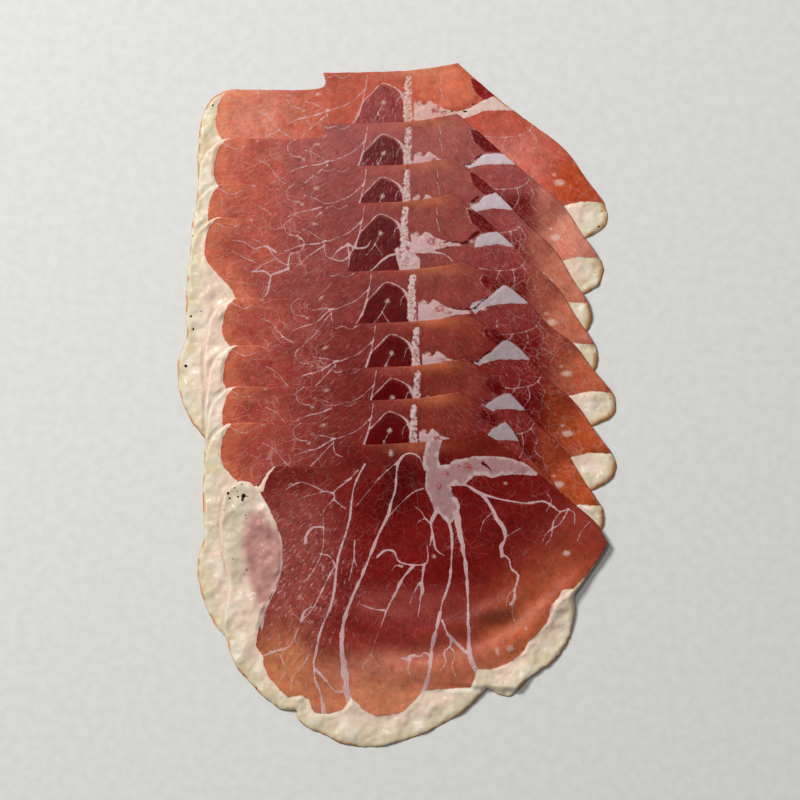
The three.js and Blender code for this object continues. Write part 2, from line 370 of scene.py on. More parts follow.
# Fat inside the slices behind the front one: each slice's wedge at its right edge.
WEDGES = (
    from_photo((56, 48), (48, 42), (62, 38), (74, 31), (86, 26), (92, 28), (100, 32), (112, 40),
               (78, 40), (68, 44)),
    from_photo((61, 47), (56, 44), (68, 41), (70, 37), (76, 33), (89, 32), (99, 33), (112, 43), (78, 43)),
    from_photo((67, 48), (62, 43), (71, 39), (77, 32), (90, 28), (99, 35), (113, 46), (85, 44)),
    from_photo((70, 46), (71, 38), (76, 33), (86, 31), (92, 30), (98, 34), (112, 46), (92, 43)),
    from_photo((58, 39), (64, 45), (68, 40), (79, 36), (95, 34), (118, 34), (105, 24), (97, 17),
               (91, 16), (85, 21), (77, 28), (60, 34)),
    from_photo((57, 41), (64, 45), (68, 41), (83, 38), (117, 38), (105, 27), (92, 19), (87, 19),
               (81, 25), (75, 31)),
    from_photo((67, 42), (73, 46), (80, 44), (92, 43), (115, 46), (103, 35), (94, 28), (87, 28), (73, 36)),
    from_photo((72, 38), (78, 31), (91, 23), (100, 29), (112, 43), (84, 41)),
)
# Where the ragged slit and its dark flaws sit beside each wedge.
SLIT_SHIFT = ((-6, 0), (0, 2), (1, 2), (0, 0), (-2, -2), (-2, -1), (3, 1), (4, 0))
# The pocket of fat below the block, and the seam that runs down the middle.
POCKET = from_photo(
    (6, 31), (12, 34), (17, 34), (21, 29), (25, 31), (32, 36), (44, 40), (56, 41), (60, 45), (44, 46),
    (30, 50), (6, 54),
)
SEAM_LINE = ((1, 8), (0, 17), (0, 26), (0, 38), (1, 60))
SEAM_HALF = (1.0, 1.9)
BLOCK = from_photo(
    (7, 2), (62, -4), (72, 12), (66, 30), (60, 33), (50, 37), (38, 38), (25, 34), (17, 32), (8, 26),
)
MUSCLE = from_photo(
    (-36, 24), (-25, 14), (-13, 18), (-7, 25), (-4, 36), (-2, 60), (-10, 90), (-60, 90), (-56, 62),
    (-50, 46), (-45, 33),
)
# The dark muscle in the right-hand corner: in the first four slices, and smaller in the rest.
CORNER_MUSCLE = from_photo((64, 9), (71, 11), (96, 30), (78, 30), (68, 21))
LATE_CORNER_MUSCLE = from_photo((71, 10), (79, 12), (89, 20), (83, 26), (75, 22), (69, 14))
LATE_CORNER_SHIFT = ((1, -3), (0, -2.5), (-0.5, 3), (-2.5, 2))
SLIT = ((41, 41), (47, 42), (54, 41), (61, 42), (66, 39), (71, 34), (76, 31))
SLIT_OPEN = (-0.2, 0.45, 0.8, 0.8, 0.4, 0.5, 0.1, -0.3)  # its half width at its wide end

# Veins of the common slice: places, then half widths at both ends.
COMMON_VEINS = (
    (((-49, 46), (-44, 32), (-35, 22), (-25, 13), (-13, 17)), 0.14, 0.22),
    (((-13, 17), (-6, 23), (-3, 32), (-2, 48)), 0.26, 0.75),
    (((-40, 5), (-42, 18), (-45, 31), (-50, 46), (-58, 58)), 0.2, 0.3),
    (((-42, 19), (-55, 31), (-66, 36), (-79, 40), (-92, 34), (-102, 31)), 0.18, 0.25),
    (((-79, 40), (-92, 45), (-106, 48), (-119, 53)), 0.32, 0.14),
    (((-80, 44), (-93, 55), (-100, 61), (-106, 67)), 0.28, 0.14),
    (((-80, 43), (-79, 52), (-76, 56), (-64, 60), (-58, 57)), 0.14, 0.2),
    (((-86, 4), (-79, 7), (-72, 5), (-65, 8), (-57, 4)), 0.1, 0.16),
    (((-23, 30), (-30, 44), (-38, 54)), 0.22, 0.12),
    (((-30, 42), (-22, 54)), 0.12, 0.1),
    (((-2, 24), (-9, 28), (-11, 36)), 0.22, 0.08),
    (((77, 66), (94, 67), (112, 65), (122, 60), (127, 50), (124, 43)), 0.16, 0.08),
    (((99, 67), (95, 76), (98, 85), (92, 92)), 0.12, 0.06),
    (((122, 60), (129, 70), (126, 80), (134, 88)), 0.12, 0.06),
    (((112, 65), (114, 76), (108, 86)), 0.15, 0.1),
    (((127, 50), (137, 54), (143, 66)), 0.18, 0.1),
    (((-186, 22), (-170, 30), (-160, 26)), 0.15, 0.1),
    (((-150, 40), (-138, 47), (-128, 60), (-118, 66)), 0.15, 0.2),
    (((-128, 60), (-140, 66), (-148, 72)), 0.15, 0.1),
    (((-112, 20), (-120, 27), (-116, 36), (-106, 38)), 0.12, 0.2),
)
# Two streaks in the block of the first four slices.
EARLY_VEINS = ((((33, 5), (34, 13)), 0.08, 0.14), (((33, 18), (35, 24), (36, 31)), 0.2, 0.06))
# What only the fourth slice shows: a second arc, a star of veins and a wide end of the seam.
FOURTH = 3
FOURTH_FAT = from_photo((-10, 48), (-3, 44), (8, 48), (16, 58), (16, 68), (-4, 70), (-8, 58))
FOURTH_VEINS = (
    (((-42, 74), (-33, 69), (-23, 60), (-16, 55), (-9, 53)), 0.25, 0.4),
    (((3, 42), (18, 50), (30, 51), (41, 53), (50, 60)), 0.85, 0.12),
    (((-56, 43), (-48, 47), (-38, 46), (-34, 40)), 0.6, 0.15),
    (((-57, 43), (-55, 54), (-56, 66)), 0.5, 0.12),
    (((-57, 44), (-66, 49), (-72, 57)), 0.5, 0.1),
    (((-134, 82), (-132, 76), (-122, 72), (-116, 70)), 0.5, 0.5),
    (((-116, 70), (-114, 56), (-104, 53), (-100, 44), (-107, 37)), 0.3, 0.2),
    (((-134, 82), (-136, 93), (-141, 98)), 0.4, 0.15),
    (((-166, 42), (-156, 44), (-148, 50), (-137, 48), (-128, 54)), 0.2, 0.3),
    (((-170, 50), (-158, 58), (-146, 64)), 0.15, 0.2),
    (((-150, 73), (-140, 72), (-134, 76)), 0.3, 0.3),
)
# A faint ring of fat with a hole in it, in the right-hand strip from the fourth slice on.
EYE = {"place": (95, 54), "size": (13, 8.5), "first": FOURTH}
# Pale crystals; the one at (-24, 32) is a painted highlight, a pale spot where the muscle only glints.
CRYSTALS_AND_GLINTS = ((152, 112, 6, 3.4), (147, 104, 2, 1.4), (-24, 32, 2.4, 2.2), (-90, 24, 3, 1.6),
            (-104, 40, 2, 1.4), (-150, 22, 1.8, 1.2), (12, 33, 3, 2.6), (70, 40, 3.4, 1.6))
STAINS = ((28, 40, 5, 4.5), (36, 43, 4, 2.5), (14, 33, 5, 2.5), (3, 48, 2, 3.5))
FLAWS = ((64, 41, 2.6, 1.1), (72, 34, 2.0, 0.9), (50, 41, 1.4, 0.9), (43, 41, 1.6, 0.8))
# Dark specks on the fat round the stack, in the photo's own pixels.
RIM_SPECKS = (
    (213, 105.5, 1.3, 1.0), (209.4, 153.5, 0.9, 0.9), (193, 236, 0.8, 0.9), (191.2, 316.4, 1.6, 1.4),
    (201.3, 311.6, 1.0, 0.8), (186, 366, 1.8, 1.8), (193.6, 329, 1.2, 2.0), (187, 292, 1.3, 0.8),
    (601.2, 211.1, 1.0, 0.9), (598.6, 226.8, 1.7, 1.0), (594.4, 272.8, 0.8, 0.7), (610, 399, 0.9, 0.8),
    (557, 656, 1.6, 0.8), (570.5, 631, 0.8, 1.0), (467, 706.4, 1.4, 0.8),
)

# The front slice, in the photo's own pixels.
FRONT_MEAT = on_front(
    (262, 470), (256, 484), (261, 493), (267, 504), (275, 520), (281, 538), (282, 555), (281, 570),
    (274, 588), (267, 605), (262, 616), (258, 631), (256, 645), (263, 656), (264, 666), (269, 677),
    (279, 689), (288, 697), (302, 695), (309, 699), (311, 708), (316, 713), (330, 714), (343, 709),
    (351, 697), (362, 708), (375, 716), (389, 715), (404, 711), (424, 690), (440, 689), (471, 687),
    (474, 678), (477, 669), (491, 669), (504, 665), (515, 659), (524, 650), (528, 642), (537, 634),
    (546, 623), (550, 613), (554, 603), (562, 596), (574, 588), (584, 577), (594, 564), (620, 560),
    (640, 500), (560, 420), (430, 400), (270, 420),
)
PINK_ZONE = on_front(
    (246, 508), (262, 508), (276, 520), (290, 540), (290, 570), (276, 600), (264, 616), (252, 606),
    (244, 580), (240, 545), (242, 524),
)
FRONT_MASS = on_front(
    (428, 436), (443, 436), (438, 455), (440, 465), (449, 464), (453, 460), (466, 458), (476, 456),
    (489, 456), (505, 457), (522, 462), (539, 471), (536, 475), (515, 474), (500, 475), (492, 478),
    (485, 475), (476, 475), (470, 479), (464, 485), (455, 483), (450, 485), (453, 495), (457, 507),
    (456, 516), (450, 524), (445, 520), (440, 514), (435, 512), (432, 503), (425, 488), (426, 470),
    (422, 462),
)
FRONT_EDGE_FATS = (
    on_front((255, 492), (261, 484), (266, 475), (271, 469), (277, 465), (271, 473), (266, 481), (264, 491)),
    on_front((553, 604), (562, 590), (573, 588), (576, 597), (566, 607), (556, 613)),
)
FRONT_SLIT = ((482.5, 463), (487, 466), (492, 471.5))
FRONT_SLIT_HALF = (0.9, 0.2)
FRONT_STAINS = ((467, 467, 5, 4.5), (459, 467, 1.6, 2), (439, 486, 3, 5), (447, 474, 3, 2))
FRONT_VEINS = (
    (((425, 470), (419, 457), (409, 453), (401, 458), (397, 468), (396, 480), (395, 491), (391, 503),
      (388, 515), (379, 533), (371, 553), (361, 578), (351, 600), (344, 621), (342, 636)), 0.3, 0.75),
    (((342, 634), (342, 649), (344, 668), (347, 688), (350, 704)), 0.9, 1.8),
    (((401, 459), (383, 474), (371, 488), (356, 506)), 0.2, 0.12),
    (((424, 488), (415, 491), (406, 498), (397, 507), (389, 516)), 0.2, 0.15),
    (((365, 464), (355, 484), (352, 501), (350, 518), (346, 533), (340, 551), (337, 566), (334, 593),
      (330, 609), (323, 624), (319, 637), (316, 652), (314, 662)), 0.35, 0.45),
    (((314, 662), (315, 679), (319, 688), (322, 700), (324, 712)), 0.45, 0.7),
    (((316, 669), (327, 681), (334, 690), (342, 692)), 0.5, 0.5),
    (((335, 566), (326, 582), (317, 601), (310, 612), (302, 620)), 0.4, 0.2),
    (((302, 620), (304, 612), (312, 606)), 0.6, 0.2),
    (((287, 489), (300, 482), (312, 485), (322, 490), (333, 493), (334, 499), (324, 510), (324, 527),
      (323, 548), (318, 562), (310, 576), (303, 582)), 0.25, 0.15),
    (((333, 493), (339, 487), (352, 478)), 0.35, 0.15),
    (((334, 499), (341, 505), (347, 509)), 0.3, 0.12),
    (((324, 527), (314, 527), (307, 534), (306, 542)), 0.45, 0.6),
    (((320, 553), (330, 556), (336, 566)), 0.3, 0.3),
    (((326, 491), (306, 496), (298, 500)), 0.2, 0.15),
    (((358, 470), (350, 478), (343, 481)), 0.25, 0.15),
    (((355, 540), (354, 556), (357, 566)), 0.25, 0.15),
    (((355, 551), (352, 568), (349, 580)), 0.15, 0.2),
    (((262, 656), (275, 651), (286, 648), (293, 641), (298, 628)), 0.6, 0.2),
    (((280, 654), (284, 664), (287, 668), (278, 683)), 0.25, 0.12),
    (((291, 690), (293, 676), (301, 668), (309, 655)), 0.2, 0.25),
    (((413, 566), (402, 579), (397, 590), (391, 601), (386, 612), (381, 626)), 0.6, 0.25),
    (((386, 610), (376, 609), (366, 606), (360, 603)), 0.35, 0.15),
    (((378, 633), (374, 644), (371, 654), (365, 662), (362, 668)), 0.12, 0.12),
    (((371, 654), (378, 664), (382, 674)), 0.12, 0.1),
    (((377, 557), (385, 550), (394, 551), (398, 560), (408, 564), (424, 564), (428, 558),
      (427, 545)), 0.35, 0.3),
    (((424, 564), (422, 582), (420, 602), (418, 616)), 0.5, 0.15),
    (((419, 583), (413, 594), (410, 603)), 0.25, 0.1),
    (((447, 518), (451, 529), (452, 546), (450, 577), (447, 589), (442, 602), (440, 616)), 0.6, 0.4),
    (((440, 612), (438, 622), (434, 637), (431, 652), (430, 666), (427, 680), (423, 693),
      (412, 709)), 0.7, 0.8),
    (((442, 620), (447, 632), (453, 639), (460, 646), (466, 652), (470, 648)), 0.45, 0.6),
    (((451, 637), (450, 646), (444, 652), (446, 662), (440, 670)), 0.45, 0.15),
    (((450, 646), (455, 655), (452, 665), (456, 676)), 0.3, 0.12),
    (((408, 659), (412, 655), (420, 656), (424, 652), (429, 655)), 0.5, 0.35),
    (((412, 656), (408, 668), (411, 676)), 0.3, 0.12),
    (((400, 657), (408, 659)), 0.25, 0.4),
    (((421, 583), (423, 590), (420, 598)), 0.9, 0.3),
    (((402, 566), (396, 565), (392, 570)), 0.4, 0.2),
    (((546, 511), (551, 500), (546, 493)), 0.2, 0.1),
    (((568, 509), (560, 523), (548, 531), (542, 541)), 0.3, 0.12),
    (((590, 521), (581, 531), (577, 541)), 0.16, 0.1),
    (((515, 588), (508, 595), (506, 606)), 0.25, 0.1),
    (((493, 512), (484, 520), (480, 532)), 0.15, 0.08),
    (((454, 500), (457, 512), (459, 530), (462, 545), (465, 560), (467, 582), (468, 604)), 1.2, 0.45),
    (((468, 604), (468, 620), (469, 637), (469, 648), (472, 662), (478, 672)), 0.5, 0.9),
    (((436, 512), (431, 523), (433, 534), (436, 549), (444, 555)), 0.7, 0.15),
    (((432, 533), (430, 545)), 0.4, 0.3),
    (((431, 523), (425, 518), (421, 511), (415, 506)), 0.3, 0.12),
    (((425, 518), (419, 521), (416, 526)), 0.2, 0.1),
    (((451, 484), (466, 485), (476, 491), (487, 495), (500, 499), (512, 501), (527, 503), (542, 501),
      (551, 505), (559, 511), (568, 509)), 0.5, 0.35),
    (((568, 509), (574, 513), (574, 524)), 0.3, 0.15),
    (((560, 512), (553, 522), (551, 536), (545, 545)), 0.35, 0.12),
    (((474, 490), (484, 497), (492, 509), (497, 519), (503, 527), (505, 538), (501, 547),
      (502, 556)), 0.45, 0.75),
    (((502, 554), (509, 559), (511, 568), (518, 575), (515, 588), (514, 599), (510, 604)), 0.55, 0.4),
    (((514, 596), (512, 611), (515, 622)), 0.2, 0.12),
    (((505, 537), (513, 532), (520, 528)), 0.15, 0.08),
    (((259, 491), (267, 504), (275, 521), (281, 539), (282, 556), (281, 570), (273, 594), (264, 612),
      (262, 628)), 0.35, 0.5),
    (((530, 640), (548, 624), (553, 604), (575, 588), (594, 566)), 0.3, 0.5),
)
FRONT_CRYSTALS = (
    (566, 553, 4, 3), (510, 648, 4, 3.5), (497, 651, 2.2, 4), (526, 628, 2, 1.8), (391, 428, 3, 2.4),
    (391, 453, 2.5, 3.5), (434, 556, 2, 2), (291, 484, 2, 1.2), (505, 483, 2, 1.5),
)
FRONT_SPECKS = tuple((x, y, size, size) for x, y, size in (
    (228.5, 493, 1.6), (230.4, 498, 1.4), (244, 495.5, 2.4), (243, 499, 1.8), (238.7, 496.5, 1.3),
    (248, 496, 0.8), (235.5, 487.5, 1.0), (238, 491, 0.8), (242.5, 484, 0.9), (247, 569.5, 1.1),
    (226, 594, 1.1), (225.2, 595.8, 0.9), (243, 675, 1.3), (244, 677, 1.2), (256.5, 688, 1.1),
    (258, 690, 0.8), (246, 515, 0.9), (246.6, 518, 0.9), (224.6, 510, 0.9), (233.5, 558.5, 0.8),
))

# Colours are sRGB. A common tone has three: for the first slice, for the second, for the sixth.
TONE_STOPS = (1, 2, 6)
COMMON_TONES = {
    "mid": ((180, 84, 62), (152, 78, 74), (116, 36, 30)),
    # The first slices' left tone is lighter: partly their own tone, partly painted sheen.
    "left": ((200, 118, 96), (172, 82, 66), (156, 66, 54)),
    "edge": ((210, 126, 90), (194, 104, 74), (186, 96, 66)),
    "muscle": ((140, 60, 58), (96, 28, 30), (86, 1, 1)),
    "block": ((200, 106, 76), (154, 82, 74), (124, 46, 34)),
    "corner": ((130, 10, 8), (104, 1, 1), (96, 1, 1)),
    "eye": ((176, 78, 60), (146, 66, 64), (124, 30, 28)),
    "pink": ((198, 120, 112), (158, 78, 74), (126, 34, 30)),
    "strip": ((200, 110, 96), (102, 1, 1), (98, 1, 1)),
    # The second slice's outer tone is lighter: partly its own tone, partly a painted wet sheen.
    "outer": ((174, 68, 30), (208, 132, 108), (174, 76, 36)),
    "tint": ((206, 128, 92), (176, 100, 72), (180, 96, 62)),
    "wedge": ((212, 182, 172), (196, 178, 184), (158, 140, 144)),
    "pocket": ((208, 166, 156), (198, 160, 158), (186, 156, 154)),
    "seam": ((214, 180, 166), (204, 178, 172), (198, 176, 174)),
}
# Zones of a common slice: tone, middle, reach and share, in photo pixels from the seam.
COMMON_ZONES = (
    ("left", (-176, 45), (58, 58), 1.0),
    ("pink", (98, 74), (32, 13), 0.8),
    ("strip", (120, 93), (34, 25), 1.0),
    ("strip", (84, 78), (18, 12), 0.6),
    ("eye", (96, 54), (26, 13), 0.9),
    ("outer", (172, 112), (30, 26), 1.0),
    ("outer", (140, 76), (10, 18), 0.35),
    ("left", (-20, 4), (22, 6), 0.3),
)
ZONE_CORE = 1.5  # how much of a zone is full: it fades where this many times its strength is under 1
FRONT_ZONE_CORE = 1.4
# Middle and reach of the warm tint at the top edge, beside the seam.
COMMON_TINT = ((18, -1), (30, 7))
FRONT_BASE = (112, 12, 9)
FRONT_ZONES = (
    ((140, 64, 57), (292, 545), (42, 70), 0.9),
    ((150, 74, 62), (285, 615), (30, 40), 0.7),
    ((112, 30, 22), (300, 474), (60, 14), 0.9),
    ((104, 26, 20), (370, 455), (60, 16), 0.8),
    ((76, 1, 1), (404, 476), (18, 22), 1.0),
    ((74, 1, 1), (394, 506), (24, 18), 0.8),
    ((112, 14, 12), (410, 535), (34, 22), 0.7),
    ((104, 26, 12), (485, 446), (50, 12), 0.95),
    ((104, 12, 10), (500, 515), (60, 38), 0.85),
    ((142, 52, 38), (588, 535), (34, 44), 0.9),
    ((176, 86, 56), (562, 600), (44, 40), 0.9),
    ((204, 110, 72), (520, 642), (44, 34), 0.95),
    # Lighter band: partly the meat's own tone, partly painted light on a crest of the lower waves.
    ((146, 62, 54), (395, 603), (64, 14), 0.85),
    ((108, 14, 12), (345, 592), (14, 26), 0.5),
    # Darker band: partly the meat's own tone, partly painted shade in the trough below that crest.
    ((138, 44, 36), (410, 638), (74, 13), 0.9),
    # Lighter band: partly the meat's own orange, partly painted light on the next crest.
    ((190, 114, 92), (400, 668), (90, 15), 0.9),
    ((204, 128, 92), (380, 700), (90, 22), 0.95),
    ((186, 104, 76), (460, 675), (34, 26), 0.9),
    ((190, 118, 78), (280, 672), (32, 34), 0.95),
    # Painted shade: a dark band in the diagonal valley of the waves on the right.
    ((104, 46, 34), (498, 617), (22, 8), 0.75),
    ((92, 6, 6), (446, 458), (7, 9), 0.9),
)
FRONT_TINT = ((415, 446), (30, 7))
FRONT_TINT_TONE = (160, 84, 58)
# Where the front slice's left part is fibrous, and where its fat is greenish.
FIBROUS_PART = ((300, 575), (45, 75))
GREEN_PARTS = (((235, 530), (14, 55)), ((239, 490), (12, 8)))
OUTER_FAT = (209, 195, 166)
INNER_FAT = (224, 198, 178)
MASS_FAT = (158, 120, 121)
MASS_EDGE = (184, 158, 157)
PALE_FAT = (224, 218, 202)
YELLOW_FAT = (208, 178, 122)
RIND = (190, 122, 58)
PINK_FAT = (190, 142, 134)
DEEP_PINK_FAT = (168, 118, 110)
GREEN_FAT = (186, 178, 150)


def linear(colour):
    """An sRGB colour as the linear numbers that Blender mixes."""
    c = np.array(colour, float) / 255
    return np.where(c <= 0.04045, c / 12.92, ((c + 0.055) / 1.055) ** 2.4)


def mixed(colours, new, share):
    return colours + (np.array(new) - colours) * share[:, None]


def blob(own, convert, middle, reach):
    """A soft spot, 1 at its middle, that has its middle and reach in photo pixels."""
    gap = (own - convert(middle)) / (np.array(reach) * PIXEL)
    return np.exp(-(gap[:, 0] ** 2) - gap[:, 1] ** 2)


def zoned(tone, own, convert, zones, core):
    """A tone with soft zones laid over it in turn."""
    for colour, middle, reach, share in zones:
        near = blob(own, convert, middle, reach)
        tone = mixed(tone, colour, share * np.clip(near * core, 0, 1))
    return tone


def mixed_in_turn(tone, layers):
    for new, share in layers:
        tone = mixed(tone, new, share)
    return tone


VEIN_REACH = 3.0
VEIN_SOFT = 0.3
WEB = 0.35


def vein_field(own, veins, convert):
    """Positive within a vein, and falling with the distance from it; forks are webbed."""
    best = np.full(len(own), -VEIN_REACH)
    for number, (route, start, end) in enumerate(veins):
        path = curve(convert(*route), 3)
        near = ((own > path.min(0) - VEIN_REACH) & (own < path.max(0) + VEIN_REACH)).all(1)
        away, along = distance_to(own[near], path)
        half = start + (end - start) * along
        half = half * (0.95 + 0.5 * soft_noise(own[near], 2.6, SEED + 200 + number))
        field = np.sqrt(half**2 + VEIN_SOFT**2) - np.sqrt(away**2 + VEIN_SOFT**2)
        other = best[near]
        share = np.clip(0.5 + (field - other) / (2 * WEB), 0, 1)
        best[near] = other + (field - other) * share + WEB * share * (1 - share)
    return best


def vein_points(veins, convert):
    return np.vstack([resampled(curve(convert(*route), 6), VEIN_SPACING) for route, _, _ in veins])


def spot_field(own, spots, convert):
    """Positive within a spot."""
    best = np.full(len(own), -3.0)
    for x, y, wide, tall in spots:
        gap = (own - convert((x, y))) / (wide * PIXEL, tall * PIXEL)
        best = np.maximum(best, (1 - np.hypot(*gap.T)) * min(wide, tall) * PIXEL)
    return best


def spot_points(spots, convert):
    """Points in and round each spot, so that the mesh is fine enough to hold it."""
    turns = np.linspace(0, 2 * math.pi, SPOT_SIDES + 1)[:-1]
    ring = np.stack([np.cos(turns), np.sin(turns)], 1)
    made = []
    for x, y, wide, tall in spots:
        size = np.array((wide, tall)) * PIXEL
        rings = (ring * size * share for share in SPOT_RINGS)
        made.append(convert((x, y)) + np.vstack([[(0, 0)], *rings]))
    return np.vstack(made)


def common_tone(name, k):
    stops = [linear(c) for c in COMMON_TONES[name]]
    return np.array([np.interp(k + 1, TONE_STOPS, [s[i] for s in stops]) for i in range(3)])


def strip_field(own, route, half, convert):
    """Positive within a strip of that half width, given at both ends."""
    away, along = distance_to(own, convert(*route))
    return half[0] + (half[1] - half[0]) * along - away


def from_table(k, loop):
    """A loop given as it lies on the table, from the slice's seam, as the slice's own places."""
    return own_place(k, loop + (SLICES[k]["x"], SLICES[k]["y"]))


def corner_muscle(k, own):
    """Positive within the dark muscle in the slice's right-hand corner."""
    if k <= FOURTH:
        return depth_in(own, from_table(k, CORNER_MUSCLE))
    shift = from_photo(LATE_CORNER_SHIFT[k - FOURTH - 1])
    return depth_in(own, from_table(k, LATE_CORNER_MUSCLE + shift))


def corner_line(own, corner):
    """Positive on the fine line of fat just outside the corner muscle, but for its right end."""
    return 0.12 - abs(corner + 0.75) - 0.4 * smoothstep(27, 31, own[:, 0])


def marbling(k):
    """All the veins that a slice shows."""
    if k == FRONT:
        return FRONT_VEINS
    return COMMON_VEINS + (EARLY_VEINS if k <= FOURTH else ()) + (FOURTH_VEINS if k == FOURTH else ())


def eye_ring(k, own):
    """Positive on the faint, broken ring of fat, in the slices that show it."""
    gap = (own - from_photo(EYE["place"])) / (np.array(EYE["size"]) * PIXEL)
    ring = 0.02 - abs(np.hypot(*gap.T) - 1 + 0.5 * soft_noise(own, 2.2, SEED + k)) * 1.6
    broken = 0.5 * smoothstep(-0.2, 0.4, soft_noise(own, 3.1, SEED + 30 + k))
    return ring - (broken + (k < EYE["first"]))


def common_tones(k, own, meat, corner, muscle):
    """Colour of the meat of a slice behind the front one."""
    tone = np.tile(common_tone("mid", k), (len(own), 1))
    zones = ((common_tone(name, k), *rest) for name, *rest in COMMON_ZONES)
    tone = zoned(tone, own, from_photo, zones, ZONE_CORE)
    left_end = (1 - smoothstep(2, 10, meat)) * smoothstep(40, 60, -own[:, 0])
    layers = (
        ("muscle", muscle),
        ("block", smoothstep(-0.5, 1.2, depth_in(own, BLOCK))),
        ("corner", smoothstep(-0.6, 0.0, corner)),
        ("edge", left_end * 0.9),
        ("tint", 0.85 * blob(own, from_photo, *COMMON_TINT)),
    )
    return mixed_in_turn(tone, ((common_tone(name, k), share) for name, share in layers))


def common_fats(k, own):
    """Positive within each kind of fat inside a slice behind the front one."""
    pocket = depth_in(own, POCKET) - 0.25
    if k == FOURTH:
        pocket = np.maximum(pocket, depth_in(own, FOURTH_FAT))
    return {
        "pocket": pocket,
        "wedge": depth_in(own, from_table(k, WEDGES[k])),
        "seam": strip_field(own, SEAM_LINE, SEAM_HALF, from_photo),
    }


def common_looks(k, own):
    """Fat, vein, spot and tone fields of the slices behind the front one."""
    shift = from_photo(SLIT_SHIFT[k])
    meat = depth_in(own, MEAT_EDGE)
    corner = corner_muscle(k, own)
    muscle = smoothstep(-0.6, 0.8, depth_in(own, MUSCLE))
    fats = common_fats(k, own)
    inner_tone = np.tile(common_tone("pocket", k), (len(own), 1))
    layers = ((common_tone(name, k), smoothstep(-0.6, 0.3, fats[name])) for name in ("seam", "wedge"))
    grit = smoothstep(-1.2, 0.6, fats["seam"]) + 0.2 * smoothstep(-1, 1, fats["pocket"])
    left_net = 0.75 * smoothstep(26, 38, -own[:, 0])
    right_net = 0.55 * smoothstep(26, 34, own[:, 0])
    veins = (vein_field(own, marbling(k), from_photo), eye_ring(k, own), corner_line(own, corner))
    return {
        "rim_fat": -meat,
        "inner_fat": np.maximum.reduce(list(fats.values())),
        "inner_tone": mixed_in_turn(inner_tone, layers),
        "grit": np.clip(grit, 0, 1),
        "vein": np.maximum.reduce(veins),
        "crystal_and_glint": spot_field(own, CRYSTALS_AND_GLINTS, from_photo),
        "stain": spot_field(own, STAINS, from_photo),
        "slit": strip_field(own - shift, SLIT, (0.1, SLIT_OPEN[k]), from_photo),
        "speck": spot_field(own - shift, FLAWS, from_photo),
        "tone": common_tones(k, own, meat, corner, muscle),
        "net": np.where(own[:, 0] < 0, left_net, right_net),
        "hatch": 0.3 * (1 - muscle) + 0.9 * muscle * max(0.0, 1 - k / 4),
        "pink": np.zeros(len(own)),
        "green": np.zeros(len(own)),
    }


def front_tones(own):
    """Colour of the front slice's meat."""
    tone = np.tile(linear(FRONT_BASE), (len(own), 1))
    zones = ((linear(colour), *rest) for colour, *rest in FRONT_ZONES)
    tone = zoned(tone, own, on_front, zones, FRONT_ZONE_CORE)
    return mixed(tone, linear(FRONT_TINT_TONE), 0.8 * blob(own, on_front, *FRONT_TINT))


def front_looks(own):
    """Fat, vein, spot and tone fields of the front slice."""
    mass = depth_in(own, FRONT_MASS)
    patches = 1.3 * soft_noise(own, 1.8, SEED + 190)
    inner_tone = np.tile(linear(INNER_FAT), (len(own), 1))
    layers = (
        (linear(MASS_EDGE), smoothstep(-1.5, -0.2, mass)),
        (linear(MASS_FAT), smoothstep(0.1, 1.7, mass + patches)),
    )
    left = blob(own, on_front, *FIBROUS_PART)
    return {
        "rim_fat": -depth_in(own, FRONT_MEAT),
        "inner_fat": np.maximum.reduce([mass, *(depth_in(own, loop) for loop in FRONT_EDGE_FATS)]),
        "inner_tone": mixed_in_turn(inner_tone, layers),
        "grit": 0.12 * smoothstep(-2, 0, mass),
        "vein": vein_field(own, FRONT_VEINS, on_front),
        "crystal_and_glint": spot_field(own, FRONT_CRYSTALS, on_front),
        "stain": spot_field(own, FRONT_STAINS, on_front),
        "slit": strip_field(own, FRONT_SLIT, FRONT_SLIT_HALF, on_front),
        "speck": spot_field(own, FRONT_SPECKS, on_front),
        "tone": front_tones(own),
        "net": 0.2 + 0.5 * left,
        "hatch": 0.06 + 0.94 * np.clip(left * 1.3, 0, 1),
        "pink": smoothstep(-1.0, 4.5, depth_in(own, PINK_ZONE) + 1.2 * soft_noise(own, 4, SEED + 180)),
        "green": np.maximum.reduce([blob(own, on_front, *part) for part in GREEN_PARTS]),
    }


def fat_tones(places, looks, depth):
    """Colour of the fat: pinkish white within the stack, cream at its outside, amber at the rind."""
    stack_depth = depth_in_any(places, GRIDS)
    tone = np.tile(linear(INNER_FAT), (len(depth), 1))
    uneven = 2.4 * soft_noise(places, 5, SEED + 100)
    tone = mixed(tone, linear(OUTER_FAT), 1 - smoothstep(2, 9, stack_depth + uneven))
    plain = 1 - looks["pink"]
    pale = smoothstep(0.0, 0.7, soft_noise(places, 4.2, SEED + 120)) * plain
    tone = mixed(tone, linear(PALE_FAT), 0.45 * pale)
    yellow = smoothstep(0.1, 0.7, soft_noise(places, 3.3, SEED + 140)) * plain
    tone = mixed(tone, linear(YELLOW_FAT), 0.28 * yellow * (1 - smoothstep(2, 7, stack_depth)))
    tone = mixed(tone, linear(GREEN_FAT), 0.8 * looks["green"])
    flushed = 0.5 + 0.5 * soft_noise(places, 2.2, SEED + 150)
    pink = linear(PINK_FAT) + (linear(DEEP_PINK_FAT) - linear(PINK_FAT)) * flushed[:, None]
    tone = tone + (pink - tone) * looks["pink"][:, None]
    tone = mixed(tone, looks["inner_tone"], smoothstep(-0.8, -0.1, looks["inner_fat"]))
    right = smoothstep(70, 78, places[:, 0])
    here = smoothstep(-0.4, 0.5, soft_noise(places, 2.4, SEED + 160) + 0.6 * right)
    rind = (1 - smoothstep(0.2, 1.4, depth / (1 + right))) * here
    return mixed(tone, linear(RIND), 0.9 * rind * looks["outer"])


